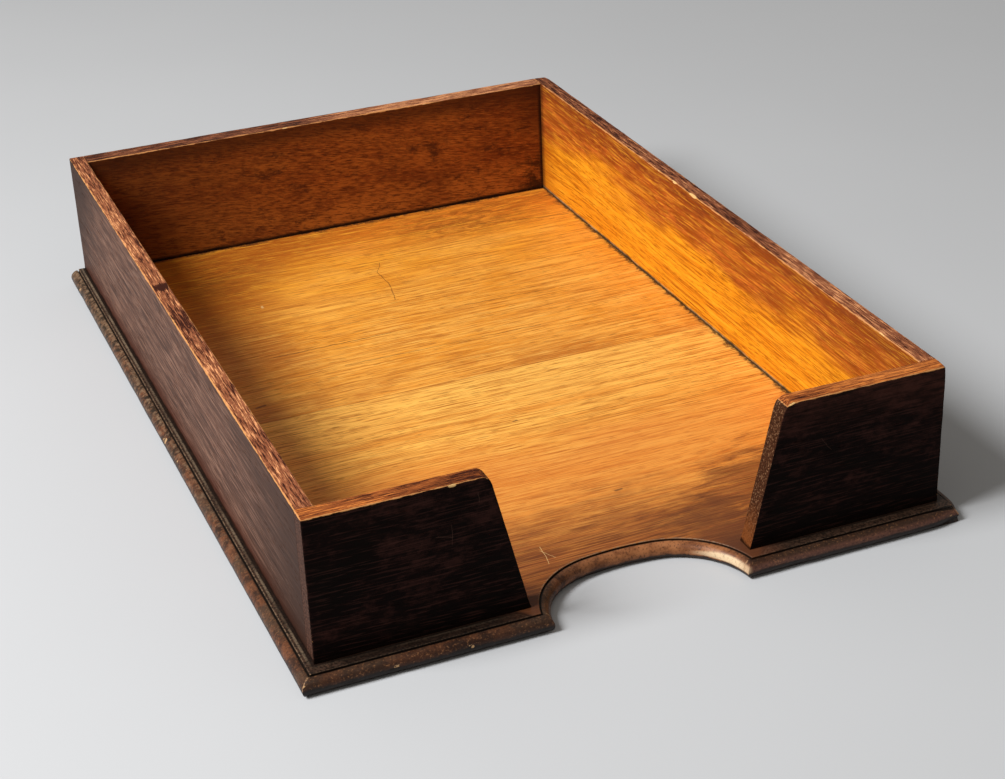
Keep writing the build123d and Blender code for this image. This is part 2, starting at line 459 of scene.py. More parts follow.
def front_plan(out):
    """Columns of plan places from the front edge back to the joint of the boards."""
    line = front_line(out)
    fine = NEAR_ARRIS / (JOINT - QUIRK_Y)
    middle = np.linspace(fine[-1], 1 - fine[-1], FRONT_ROWS)
    rows = np.concatenate([fine[:-1], middle, 1 - fine[-2::-1]])
    x = np.repeat(line[:, :1], len(rows), axis=1)
    y = line[:, 1:] + (JOINT - line[:, 1:]) * rows
    return np.stack([x, y], axis=2)


def rear_plan(out):
    """Columns of plan places from the joint of the boards back to the rear edge."""
    xs = np.linspace(-QUIRK_X - out, QUIRK_X + out, REAR_COLUMNS)
    ys = spread(JOINT, REAR, ON_REAR_BOARD)
    return np.stack(np.meshgrid(xs, ys, indexing="ij"), axis=2)


class Shell:
    """Gathers grids of points and their faces for one mesh."""

    def __init__(self):
        self.points = []
        self.faces = []
        self.cores = []
        self.edges = []
        self.count = 0

    def grid(self, sheet, edge=0.0, core=None):
        """Adds a grid of points. Edge says how far round the moulding each one lies."""
        rows, columns = sheet.shape[:2]
        flat = sheet.reshape(-1, 3)
        numbers = self.count + np.arange(len(flat)).reshape(rows, columns)
        self.points.append(flat)
        self.cores.append(flat if core is None else core.reshape(-1, 3))
        self.edges.append(np.broadcast_to(edge, (rows, columns)).ravel())
        self.faces += grid_quads(numbers).tolist()
        self.count += len(flat)
        return numbers


def lifted(plan, height):
    """Plan places as points at a height."""
    return np.concatenate([plan, np.full(plan.shape[:2] + (1,), height)], axis=2)


# Pale chips and dark dents in the moulding, in the same way as those of the walls
NOSE_CHIPS = [
    (-135, 175, 2, 1.2, 1.2, 1.6, 0.35),
    (-135, 3, 2, 1.6, 1.8, 1.8, 0.5),
    (-135, -17, 2, 1.4, 1.2, 1.6, 0.35),
    (-134.6, -193.6, 1.6, 0.9, 0.9, 1.0, 0.35),
    (-100, -194, 3.4, 1.8, 1.0, 0.9, 0.35),
    (-72, -194, 3.4, 2.2, 1.0, 0.9, 0.35),
    (131, -194, 3, 1.0, 1.0, 1.0, 0.35),
]
NOSE_DENTS = [
    (-135, 168, 3, 2.0, 4.0, 2.5, 0.4),
    (-135, -60, 2, 2.0, 4.0, 2.0, 0.4),
    (135.2, -194.3, 4, 9.0, 6.0, 6.0, 2.8),
    (60, -194, 5, 5.0, 2.0, 2.0, 0.4),
]


def moulding_values(points, steps, profile):
    """What the paint reads at each point of a base board, from the step of the moulding's
    section that it lies at."""
    outs = np.array([out for out, height in profile])
    out = np.interp(steps, np.arange(len(profile)), outs)
    height = points[:, 2]
    floor = BASE_TOP - QUIRK_DEPTH
    nose = (out > QUIRK_WIDTH * 0.99) & (height > 0.2)
    quirk = (steps > 0) & (np.abs(out - QUIRK_WIDTH / 2) < QUIRK_WIDTH * 0.51)
    quirk &= (height > floor - 0.1) & (height < BASE_TOP - 0.3)
    return {
        "nose": nose.astype(float),
        "quirk": quirk.astype(float),
        "arris": np.exp(-np.abs(out) / 0.5) * (steps > 0) * (height > BASE_TOP - 0.4),
        "chip": chipped(points, BASE_TOP, NOSE_CHIPS),
    }


def base_board(name, node, plan, moulded_front, material):
    """A base board with its moulded edges. Wear draws the moulding in towards its core."""
    profile = moulding_profile()
    shell = Shell()
    inset = profile[0][0]
    top = shell.grid(lifted(plan(inset), BASE_TOP))
    bottom = shell.grid(lifted(plan(0), 0))
    layers = [lifted(plan(out), height) for out, height in profile]
    core = lifted(plan(NOSE_CORE_OUT), BASE_TOP / 2)
    if moulded_front:
        def border(sheet):
            return np.concatenate([sheet[0, ::-1], sheet[1:-1, 0], sheet[-1]])
        runs = [border]
        ends = [-1]
    else:
        runs = [lambda sheet: sheet[0], lambda sheet: sheet[-1]]
        ends = [0, -1]
    for run in runs:
        strip = np.stack([run(layer) for layer in layers])
        steps = np.arange(len(profile))[:, None] * np.ones(strip.shape[1])
        cores = np.broadcast_to(run(core), strip.shape)
        numbers = shell.grid(strip, steps, cores)
        for end in (0, -1):
            shell.faces.append(numbers[:, end].tolist())
    for end in ends:
        cap = np.stack([top[:, end], bottom[:, end]])
        shell.faces += grid_quads(cap).tolist()
    points = np.concatenate(shell.points)
    cores = np.concatenate(shell.cores)
    values = moulding_values(points, np.concatenate(shell.edges), profile)
    swell = wander(points, *NOSE_SWELL)
    nibble = wander(points, *NOSE_NIBBLE)
    depth = np.maximum(NOSE_WEAR * (1 + swell + 0.7 * nibble), 0)
    depth += dents(points, BASE_TOP, NOSE_CHIPS) + dents(points, BASE_TOP, NOSE_DENTS)
    inward = cores - points
    reach = np.maximum(np.linalg.norm(inward, axis=1), TINY)
    depth = np.minimum(depth, MOST_WEAR * reach)
    worn = points + inward / reach[:, None] * (depth * values["nose"])[:, None]
    drop = SEAM_DROP * np.exp(-np.abs(points[:, 1] - JOINT) / SEAM_REACH)
    worn[:, 2] -= drop * (points[:, 2] > BASE_TOP - 0.2)
    return add_piece(name, worn, shell.faces, values, material, "base_wood", node)


class Paint:
    """Builds a material's nodes. A number, a colour or a socket can go into any input.
    Places are in millimetres, across is how far out from the middle of the tray, and above
    how high over its floor."""

    def __init__(self, name):
        self.material = bpy.data.materials.new(name)
        self.material.use_nodes = True
        self.tree = self.material.node_tree
        self.tree.nodes.clear()
        place = self.add("ShaderNodeTexCoord").outputs["Object"]
        self.place = self.vector("MULTIPLY", place, (1 / MM,) * 3)
        parts = self.add("ShaderNodeSeparateXYZ", {0: self.place})
        self.x, self.y, self.z = parts.outputs
        self.across = self.math("ABSOLUTE", self.x)
        self.above = self.minus(self.z, BASE_TOP)
        waver = self.add("ShaderNodeTexNoise", {"Vector": self.place, "Scale": 1 / 5, "Detail": 2.0})
        centred = self.vector("SUBTRACT", waver.outputs["Color"], (0.5, 0.5, 0.5))
        self.ripple = self.vector("MULTIPLY", centred, (1.6,) * 3)

    def add(self, kind, inputs=None, **settings):
        """One node, with its settings made and its inputs fed."""
        node = self.tree.nodes.new(kind)
        for key, value in settings.items():
            setattr(node, key, value)
        for key, value in (inputs or {}).items():
            if isinstance(value, bpy.types.NodeSocket):
                self.tree.links.new(value, node.inputs[key])
            else:
                node.inputs[key].default_value = value
        return node

    def math(self, operation, *values):
        """The result of a maths node."""
        return self.add("ShaderNodeMath", dict(enumerate(values)), operation=operation).outputs[0]

    def chain(self, operation, values):
        """The values put together in turn by one kind of maths node."""
        made = values[0]
        for value in values[1:]:
            made = self.math(operation, made, value)
        return made

    def times(self, *values):
        """The product of the values."""
        return self.chain("MULTIPLY", values)

    def plus(self, *values):
        """The sum of the values."""
        return self.chain("ADD", values)

    def minus(self, first, second):
        """The first value less the second."""
        return self.math("SUBTRACT", first, second)

    def swing(self, noise, amount):
        """Noise as an offset, to both sides of nothing and by half the amount at most."""
        return self.times(self.minus(noise, 0.5), amount)

    def least(self, *values):
        """The least of the values."""
        return self.chain("MINIMUM", values)

    def most(self, *values):
        """The greatest of the values."""
        return self.chain("MAXIMUM", values)

    def ramp(self, value, low, high, last=1.0, first=0.0):
        """A smooth step up to last at high, from first at low."""
        inputs = {"Value": value, "From Min": low, "From Max": high, "To Min": first, "To Max": last}
        return self.add("ShaderNodeMapRange", inputs, interpolation_type="SMOOTHSTEP").outputs[0]

    def attribute(self, name):
        """A value that the mesh holds at its points."""
        return self.add("ShaderNodeAttribute", attribute_name=name).outputs["Fac"]

    def vector(self, operation, first, second):
        """The result of a vector maths node."""
        return self.add("ShaderNodeVectorMath", {0: first, 1: second}, operation=operation).outputs[0]

    def noise(self, sizes, detail=2.0, rough=0.5, bend=0.0, place=None):
        """Noise whose bumps have one given size, or one for each axis."""
        scale = tuple(1 / size for size in np.broadcast_to(sizes, 3).tolist())
        vector = self.vector("MULTIPLY", place or self.place, scale)
        inputs = {"Vector": vector, "Scale": 1.0, "Detail": detail, "Roughness": rough, "Distortion": bend}
        return self.add("ShaderNodeTexNoise", inputs).outputs[0]

    def cells(self, sizes, place=None):
        """Scattered points of the given sizes: the distance to each, and its random share."""
        scale = tuple(1 / size for size in sizes)
        vector = self.vector("MULTIPLY", place or self.place, scale)
        node = self.add("ShaderNodeTexVoronoi", {"Vector": vector, "Scale": 1.0})
        share = self.add("ShaderNodeSeparateColor", {0: node.outputs["Color"]}).outputs[0]
        return node.outputs["Distance"], share

    def mix(self, share, first, second):
        """A colour between two colours."""
        node = self.add("ShaderNodeMix", data_type="RGBA")
        for socket, value in ((node.inputs[0], share), (node.inputs[6], first), (node.inputs[7], second)):
            if isinstance(value, bpy.types.NodeSocket):
                self.tree.links.new(value, socket)
            elif isinstance(value, tuple):
                socket.default_value = (*value, 1.0)
            else:
                socket.default_value = value
        return node.outputs[2]

    def coats(self, colour, *layers):
        """A colour with layers laid over it in turn. Each is one or more shares, which are
        multiplied, and the layer's own colour."""
        for *shares, tint in layers:
            colour = self.mix(self.times(*shares), colour, tint)
        return colour

    def length(self, vector):
        """The length of a vector."""
        node = self.add("ShaderNodeVectorMath", {0: vector}, operation="LENGTH")
        return node.outputs["Value"]

    def distance(self, x, y):
        """How far each place lies from one in plan."""
        return self.length(self.vector("SUBTRACT", self.flat((1, 1, 0)), (x, y, 0)))

    def stroke(self, start, end, width):
        """1 along a straight mark between two places, 0 away from it. The axis that both
        places leave at 0 doesn't count."""
        start, end = Vector(start), Vector(end)
        along = end - start
        plane = tuple(float(a != 0 or b != 0) for a, b in zip(start, end))
        ripple = self.vector("MULTIPLY", self.ripple, plane)
        offset = self.vector("SUBTRACT", self.vector("ADD", self.flat(plane), ripple), tuple(start))
        onto = {0: offset, 1: tuple(along / along.length_squared)}
        share = self.add("ShaderNodeVectorMath", onto, operation="DOT_PRODUCT")
        share = self.add("ShaderNodeClamp", {0: share.outputs["Value"]}).outputs[0]
        nearest = self.add("ShaderNodeVectorMath", {0: tuple(along), "Scale": share}, operation="SCALE")
        gap = self.length(self.vector("SUBTRACT", offset, nearest.outputs[0]))
        return self.ramp(gap, width, 0.3 * width)

    def flat(self, plane):
        """The place with the axes that don't count left out."""
        return self.vector("MULTIPLY", self.place, plane)

    def finish(self, colour, roughness, height, bump, shine):
        """The shader itself: colour, roughness and a height for the relief."""
        relief = self.add("ShaderNodeBump", {"Height": height, "Strength": bump, "Distance": MM})
        inputs = {"Base Color": colour, "Roughness": roughness, "Specular IOR Level": shine}
        shader = self.add("ShaderNodeBsdfPrincipled", inputs)
        self.tree.links.new(relief.outputs[0], shader.inputs["Normal"])
        output = self.add("ShaderNodeOutputMaterial")
        self.tree.links.new(shader.outputs[0], output.inputs[0])
        return self.material


def stretched(axis, along, across):
    """Sizes for a pattern drawn out along one axis."""
    sizes = [across] * 3
    sizes[axis] = along
    return tuple(sizes)


class Grain:
    """The parts of a wood's pattern, drawn out along one axis."""

    def __init__(self, paint, axis, slant):
        sway = paint.swing(paint.noise(stretched(axis, 180, 60), 1.0), 9)
        amount = paint.plus(sway, paint.times((paint.x, paint.y)[axis], slant))
        offset = paint.add("ShaderNodeCombineXYZ")
        for other in range(3):
            if other != axis:
                paint.tree.links.new(amount, offset.inputs[other])
        self.place = paint.vector("ADD", paint.place, offset.outputs[0])
        self.band = paint.noise(stretched(axis, 170, 8), 3.0, 0.55, place=self.place)
        self.streak = paint.noise(stretched(axis, 50, 1.7), 3.0, 0.6, place=self.place)
        self.fibre = paint.noise(stretched(axis, 15, 0.6), 2.0, 0.6, place=self.place)
        self.thread = paint.noise(stretched(axis, 26, 0.6), 2.0, 0.6, place=self.place)
        fine = self.pits(paint, stretched(axis, 6, 0.8), 0.45, 0.4)
        coarse = self.pits(paint, stretched(axis, 13, 1.6), 0.72, 0.34)
        self.pores = paint.most(fine, coarse)

    def pits(self, paint, sizes, scarcity, width):
        """Scattered dashes of the given sizes. Scarcity is the share of them left out."""
        distance, share = paint.cells(sizes, place=self.place)
        size = paint.ramp(share, scarcity, 1.0, width)
        return paint.ramp(paint.minus(size, distance), 0.0, 0.12)

    def finish(self, paint, colour, smooth, fibres, shine):
        """The shader of this wood: rougher in its fibres and pores, with all in relief."""
        roughness = paint.plus(smooth, paint.times(self.fibre, 0.2), paint.times(self.pores, 0.2))
        relief = paint.plus(
            paint.times(self.fibre, fibres),
            paint.times(self.streak, 0.03),
            paint.times(self.pores, -0.05),
        )
        return paint.finish(colour, roughness, relief, RELIEF, shine)


def shaded(colour, *tints):
    """A colour made darker, by one share or by one for each of its parts."""
    return tuple(part * tint for part, tint in zip(colour, tints * 3))


def lined(paint, grain, colour, dark, light, strength):
    """A colour with the wood's lines drawn in: broad and fine streaks, fibres and pores."""
    deep = shaded(dark, 0.45)
    return paint.coats(
        colour,
        (paint.ramp(grain.streak, 0.49, 0.37, 0.6 * strength), dark),
        (paint.ramp(grain.streak, 0.55, 0.66, 0.5 * strength), light),
        (paint.ramp(grain.fibre, 0.48, 0.36, strength), dark),
        (paint.ramp(grain.fibre, 0.54, 0.66, 0.7 * strength), light),
        (paint.ramp(grain.thread, 0.46, 0.38, strength), dark),
        (paint.ramp(grain.thread, 0.56, 0.66, 0.5 * strength), light),
        (grain.pores, 0.7 * strength, deep),
    )


def outer_face(paint, grain, dark, light, streak):
    """The stained outer face of a wall, with fine pale lines and a darker, redder foot."""
    deep = shaded(dark, 0.5)
    foot = paint.ramp(paint.above, 0.0, 14, 0.0, 0.75)
    level = paint.plus(paint.above, paint.times(paint.y, -0.35))
    front = paint.ramp(paint.y, -80, CASE_FRONT, 0.9)
    rear = paint.ramp(paint.plus(paint.y, paint.above), 160, 232, 0.9)
    corner = paint.times(paint.ramp(paint.y, -60, -110), paint.ramp(level, 66, 96, 0.6))
    ends = paint.most(front, rear, corner)
    return paint.coats(
        paint.mix(paint.ramp(grain.band, 0.25, 0.75), dark, light),
        (paint.ramp(grain.streak, 0.48, 0.36, 0.35), deep),
        (paint.ramp(grain.fibre, 0.48, 0.36, 0.6), deep),
        (paint.ramp(grain.fibre, 0.54, 0.66, 0.4), streak),
        (paint.ramp(grain.thread, 0.53, 0.64, 0.5), streak),
        (paint.ramp(grain.thread, 0.48, 0.38, 0.65), deep),
        (foot, shaded(dark, 0.7, 0.35, 0.3)),
        (ends, shaded(dark, 0.4)),
    )


def side_inner_face(paint, grain):
    """The bright inner face of a side, with a darker and redder band along its top."""
    height = paint.above
    figure = paint.noise((20, 75, 14), 3.0, 0.55)
    swirl = paint.noise((8, 30, 4), 4.0, 0.65, bend=0.8)
    band = paint.ramp(paint.plus(height, paint.swing(figure, 50)), 26, 40)
    high = paint.mix(paint.ramp(swirl, 0.4, 0.62), (0.24, 0.042, 0.011), (0.49, 0.108, 0.019))
    rim = paint.ramp(height, 46, 57, 0.7)
    colour = paint.coats(
        paint.mix(paint.ramp(grain.band, 0.3, 0.7), (0.74, 0.25, 0.009), (0.95, 0.39, 0.016)),
        (band, 0.92, high),
        (rim, (0.15, 0.032, 0.012)),
    )
    colour = lined(paint, grain, colour, (0.3, 0.065, 0.004), (0.98, 0.45, 0.035), 0.55)
    near_back = paint.times(paint.ramp(paint.y, INNER_BACK - 26, INNER_BACK), paint.ramp(height, 40, 20))
    # painted shade in the corner with the back
    corner = paint.ramp(paint.y, INNER_BACK - 5, INNER_BACK - 0.5, 0.7)
    foot = paint.times(paint.ramp(height, 1.9, 1.0), paint.ramp(swirl, 0.4, 0.52, 0.95, 0.2))
    return paint.coats(
        colour,
        (near_back, 0.6, (0.4, 0.09, 0.006)),
        (corner, (0.05, 0.014, 0.005)),
        (foot, (0.6, 0.38, 0.18)),
    )


def back_inner_face(paint, grain):
    """The inner face of the back and of the returns: fine dark grain with cloudy stains, painted bounce
    light low down, a painted shadow of the left side, and painted shade in the corners and along the foot.
    """
    height = paint.above
    cloudy = paint.noise((36, 36, 18), 4.0, 0.6)
    stain = paint.noise((17, 17, 9), 5.0, 0.75)
    colour = paint.coats(
        paint.mix(paint.ramp(grain.band, 0.3, 0.7), (0.23, 0.055, 0.009), (0.3, 0.083, 0.013)),
        # painted bounce light from the floor: lighter low down
        (paint.ramp(height, 26, 5, 0.7), (0.42, 0.14, 0.022)),
        (paint.ramp(cloudy, 0.52, 0.36, 0.6), (0.12, 0.024, 0.006)),
    )
    colour = lined(paint, grain, colour, (0.085, 0.018, 0.004), (0.42, 0.13, 0.02), 0.6)
    # painted shadow of the left side: darker towards the left, most low down
    left = paint.ramp(paint.x, 0.0, -INNER_SIDE + 30, 0.3)
    by_left = paint.ramp(paint.x, -INNER_SIDE + 50, -INNER_SIDE + 6)
    low_left = paint.times(by_left, paint.ramp(height, 56, 20, 1.0, 0.5))
    by_right = paint.ramp(paint.x, INNER_SIDE - 26, INNER_SIDE - 4)
    high_right = paint.times(by_right, paint.ramp(height, 24, 42))
    by_right = paint.ramp(paint.x, INNER_SIDE - 30, INNER_SIDE)
    # stains towards the lower right, with painted shade in the corners by the sides and along the foot
    dirt_and_crease_shade = paint.most(
        paint.times(by_right, paint.ramp(stain, 0.45, 0.56), paint.ramp(height, 32, 8)),
        paint.ramp(paint.across, INNER_SIDE - 2.4, INNER_SIDE - 0.8),
        paint.times(paint.ramp(height, 2.6, 1), paint.ramp(cloudy, 0.36, 0.56, 1.0, 0.5)),
    )
    rim = paint.ramp(height, 46, 56, 0.7)
    return paint.coats(
        colour,
        (paint.ramp(stain, 0.55, 0.68, 0.75), (0.05, 0.012, 0.005)),
        (left, (0.06, 0.014, 0.005)),
        (low_left, 0.6, (0.04, 0.011, 0.004)),
        (high_right, 0.6, (0.05, 0.012, 0.004)),
        (dirt_and_crease_shade, 0.85, (0.016, 0.006, 0.003)),
        (rim, (0.05, 0.012, 0.004)),
    )


def top_edge(paint, grain, axis, rubbed_colours, level, slopes, spots):
    """The top edge of a wall, rubbed bare in short flecks between dark patches. Level says
    how bare it is, and the slopes and spots how much more."""
    flecks = paint.noise(stretched(axis, 9, 0.45), 4.0, 0.7)
    patches = paint.noise(stretched(axis, 18, 8), 5.0, 0.7)
    rubbed = paint.plus(flecks, level, paint.swing(patches, 0.35))
    for slope, start, end, amount in slopes:
        place = (paint.x, paint.y)[slope]
        rubbed = paint.plus(rubbed, paint.ramp(place, start, end, amount))
    for x, y, reach, amount in spots:
        gap = paint.plus(paint.distance(x, y), paint.swing(flecks, 0.8 * reach))
        rubbed = paint.plus(rubbed, paint.ramp(gap, reach, 0.4 * reach, amount))
    middle, bare = rubbed_colours
    return paint.coats(
        (0.045, 0.012, 0.007),
        (paint.ramp(rubbed, 0.4, 0.475), middle),
        (paint.ramp(rubbed, 0.53, 0.64), bare),
        (grain.pores, 0.5, (0.04, 0.012, 0.008)),
    )


def sloped_end(paint):
    """The end grain of a return's slope: dark and finely speckled, rubbed golden at its foot."""
    specks = paint.noise(0.75, 2.0, 0.6)
    cloudy = paint.noise(9, 3.0, 0.6)
    golden = paint.ramp(paint.plus(paint.above, paint.swing(cloudy, 12)), 20, 2)
    dark = paint.times(paint.ramp(specks, 0.5, 0.38, 0.85), paint.ramp(golden, 0.0, 1.0, 0.5, 1.0))
    pale = paint.times(paint.ramp(specks, 0.56, 0.66, 0.5), paint.ramp(golden, 0.0, 1.0, 0.25, 1.0))
    return paint.coats(
        (0.055, 0.019, 0.009),
        (golden, (0.17, 0.05, 0.013)),
        (dark, (0.024, 0.01, 0.005)),
        (pale, (0.36, 0.2, 0.1)),
    )


def case_wood(name, axis, slant, stain, inner_face, shine, rubbing, marks=None):
    """Wood for the walls: dark stain outside, warm brown inside, worn along the top."""
    paint = Paint(name)
    grain = Grain(paint, axis, slant)
    colour = outer_face(paint, grain, *stain)
    if marks:
        colour = marks(paint, grain, colour)
    ragged = paint.noise(stretched(axis, 5, 1.2), 3.0, 0.7)
    fading = paint.noise(stretched(axis, 45, 30), 2.0, 0.5)
    rub = paint.plus(paint.attribute("wear"), paint.swing(ragged, 1.3), paint.swing(fading, 0.9))
    fresh = paint.times(paint.attribute("chip"), paint.ramp(ragged, 0.32, 0.56, 1.3, 0.35))
    cloudy = paint.noise(9, 4.0, 0.65)
    low = paint.plus(paint.above, paint.swing(cloudy, 3))
    colour = paint.coats(
        colour,
        (paint.attribute("inside"), inner_face(paint, grain)),
        (paint.attribute("end"), sloped_end(paint)),
        (paint.attribute("top"), top_edge(paint, grain, axis, *rubbing)),
        (paint.ramp(rub, 0.62, 0.86, 0.9), RUBBED_ARRIS),
        (paint.ramp(fresh, 0.55, 0.7, 0.85), FRESH_WALL),
        # painted shade in the crease along the foot of each wall
        (paint.ramp(low, 0.5, 2.2, 0.0, 0.9), CREASE_SHADE),
    )
    return grain.finish(paint, colour, 0.42, 0.02, shine)


def front_marks(paint, grain, colour):
    """The returns outside: mottled black and red-brown fronts with old scratches, and outer
    ends that are stained like the sides."""
    mottle = paint.noise((12, 12, 7), 5.0, 0.75)
    broad = paint.noise((40, 40, 25), 2.0, 0.5)
    mottle = paint.plus(mottle, paint.swing(broad, 0.5))
    low = paint.times(paint.ramp(paint.above, 14, 4), paint.ramp(paint.x, -104, -96))
    high = paint.times(paint.ramp(paint.z, WALL_TOP - 18, WALL_TOP), paint.ramp(paint.x, 0.0, 60))
    black = (0.003, 0.0015, 0.001)
    colour = paint.coats(
        colour,
        (paint.ramp(mottle, 0.48, 0.7, 0.6), (0.042, 0.014, 0.0105)),
        (paint.ramp(mottle, 0.48, 0.34, 0.9), black),
        (low, 0.75, black),
        (high, paint.ramp(mottle, 0.3, 0.6, 0.6, 0.15), (0.075, 0.024, 0.016)),
        (paint.ramp(grain.fibre, 0.53, 0.66, 0.4), (0.055, 0.02, 0.015)),
        (paint.ramp(grain.fibre, 0.47, 0.36, 0.6), black),
    )
    pale = (0.09, 0.045, 0.032)
    scratches = [
        ((-79.7, 46.4), (-73.7, 44.8), 0.24, pale),
        ((-73.8, 49.9), (-73.9, 42.0), 0.16, pale),
        ((-63.5, 60.2), (-63.4, 56.5), 0.18, pale),
        ((-112, 40), (-92, 58), 0.3, (0.002, 0.001, 0.001)),
        ((74, 48), (79, 42), 0.14, pale),
    ]
    for start, end, width, shade in scratches:
        line = paint.stroke((start[0], 0, start[1]), (end[0], 0, end[1]), width)
        colour = paint.mix(paint.times(line, 0.35), colour, shade)
    specks = paint.noise(0.9, 2.0, 0.6)
    end_grain = paint.mix(paint.ramp(specks, 0.35, 0.65), (0.03, 0.013, 0.009), (0.1, 0.046, 0.03))
    outer_end = paint.least(
        paint.ramp(paint.across, HALF_CASE - 0.9, HALF_CASE - 0.4),
        paint.ramp(paint.y, CASE_FRONT + 0.2, CASE_FRONT + 0.7),
    )
    return paint.mix(outer_end, colour, end_grain)


def floor_marks(paint, colour):
    """The crack, specks and scratches on the floor of the tray."""
    dark = (0.09, 0.03, 0.01)
    brown = (0.05, 0.02, 0.012)
    pale = (0.9, 0.6, 0.25)
    marks = [
        ((0, 86.6), (3.5, 103), 0.3, dark),
        ((3.5, 103), (3.2, 121.4), 0.35, dark),
        ((3.2, 121.4), (8, 131.3), 0.25, dark),
        ((3.2, 121.4), (0.4, 127), 0.2, dark),
        ((-60.2, 109.3), (-60.2, 107.3), 0.9, pale),
        ((4.1, -51.4), (5.5, -51.2), 0.8, brown),
        ((18.2, -123), (20.8, -122.8), 1.0, brown),
        ((-92, 9.3), (-88, 10.2), 1.0, dark),
        ((-25.7, -148.6), (-27.4, -161.1), 0.14, pale),
        ((-26.8, -151.2), (-23.4, -158.0), 0.12, pale),
        ((117.7, 145.9), (71.3, 154.4), 0.5, dark),
        ((-71, 53), (-14, 53.6), 0.45, dark),
        ((28, 66), (74, 64.5), 0.4, dark),
        ((-44, 31), (52, 30), 0.35, dark),
    ]
    for start, end, width, shade in marks:
        line = paint.stroke((*start, 0), (*end, 0), width)
        colour = paint.mix(paint.times(line, 0.65), colour, shade)
    return colour


def tray_floor(paint, grain, cloudy):
    """The golden floor of the tray: two boards, knotty at the back, with a painted shadow of the left side
    and painted shade at the rear left, and darker towards the finger cut-out with years of dirt and painted
    shade."""
    ahead = paint.ramp(paint.y, JOINT + 0.2, JOINT - 0.2)
    behind = paint.minus(1.0, ahead)
    redder = paint.ramp(cloudy, 0.4, 0.65, 0.9, 0.35)
    near_joint = paint.ramp(paint.y, JOINT + 34, JOINT, 0.75)
    near_joint = paint.times(near_joint, behind, paint.ramp(cloudy, 0.4, 0.6))
    pale = paint.times(ahead, paint.ramp(paint.y, JOINT - 42, JOINT - 8, 0.5))
    red_rear = paint.ramp(paint.y, REAR - 62, REAR - 22, 0.85)
    # painted shade at the rear left of the floor
    rear_left_shade = paint.plus(paint.times(paint.y, -1.0), paint.times(paint.x, 0.9))
    rear_left_shade = paint.ramp(rear_left_shade, -140, -215, 0.85)
    # painted penumbra of the left side's shadow, on the back half of the floor
    left = paint.plus(paint.x, paint.swing(cloudy, 30))
    left = paint.times(paint.ramp(left, -40, -74), paint.ramp(paint.y, 0.0, 60, 0.75))
    colour = paint.coats(
        paint.mix(paint.ramp(grain.band, 0.3, 0.7), (0.84, 0.33, 0.043), (1.0, 0.5, 0.088)),
        (behind, redder, (0.86, 0.32, 0.024)),
        (near_joint, (0.52, 0.17, 0.024)),
        (pale, (1.0, 0.56, 0.11)),
        (red_rear, (0.68, 0.168, 0.013)),
        (rear_left_shade, (0.27, 0.055, 0.004)),
        (left, (0.5, 0.125, 0.012)),
    )
    whorl = paint.noise((16, 6, 10), 4.0, 0.7, bend=1.6)
    for x, y, long_x, long_y, strength in KNOTS:
        to_knot = paint.vector("SUBTRACT", paint.place, (x, y, 0))
        gap = paint.length(paint.vector("MULTIPLY", to_knot, (1 / long_x, 1 / long_y, 0)))
        knotty = paint.times(paint.ramp(gap, 1.0, 0.17), paint.ramp(whorl, 0.4, 0.58))
        colour = paint.mix(paint.times(knotty, strength), colour, (0.22, 0.055, 0.009))
    rear = paint.times(paint.ramp(paint.y, REAR - 40, REAR - 12), paint.ramp(whorl, 0.42, 0.6))
    colour = paint.mix(paint.times(rear, 0.6), colour, (0.34, 0.08, 0.008))
    pale_line = paint.mix(paint.ramp(paint.y, 50, 130), (1.0, 0.56, 0.12), (0.98, 0.46, 0.04))
    colour = lined(paint, grain, colour, (0.46, 0.14, 0.014), pale_line, 0.68)

    front = paint.plus(paint.y, paint.swing(cloudy, 40))
    tanned = paint.ramp(front, CASE_FRONT + 132, CASE_FRONT + 96, 0.5)
    smears = paint.noise((24, 5, 10), 5.0, 0.7, bend=0.5)
    smeary = paint.swing(smears, 70)
    front = paint.plus(front, smeary, paint.times(paint.x, 0.12))
    # dirt and painted shade: darker towards the finger cut-out and towards the right front corner
    dirt = paint.ramp(front, CASE_FRONT + 84, CASE_FRONT + 20, 0.93)
    to_foot = paint.plus(paint.distance(84, -152), paint.swing(cloudy, 30), smeary)
    dirt = paint.most(dirt, paint.ramp(to_foot, 50, 26, 0.85))
    dirt = paint.times(dirt, paint.ramp(grain.fibre, 0.62, 0.44, 1.0, 0.85))
    smeared = paint.mix(paint.ramp(grain.thread, 0.4, 0.6), (0.1, 0.024, 0.008), (0.24, 0.064, 0.017))
    to_horn = paint.plus(paint.distance(44, -170), paint.swing(cloudy, 26), smeary)
    past = paint.minus(paint.across, FOOT)
    near_foot = paint.add("ShaderNodeCombineXYZ", {0: past, 1: paint.minus(paint.y, CASE_FRONT)})
    near_foot = paint.ramp(paint.length(near_foot.outputs[0]), 18, 7, 0.85)
    seam = paint.ramp(paint.math("ABSOLUTE", paint.minus(paint.y, JOINT)), 0.5, 0.1)
    colour = paint.coats(
        colour,
        (tanned, (0.7, 0.19, 0.03)),
        (dirt, smeared),
        (paint.ramp(to_horn, 34, 10, 0.6), (0.1, 0.03, 0.013)),
        (near_foot, (0.09, 0.03, 0.013)),
        (seam, 0.55, (0.3, 0.09, 0.014)),
    )
    return floor_marks(paint, colour)


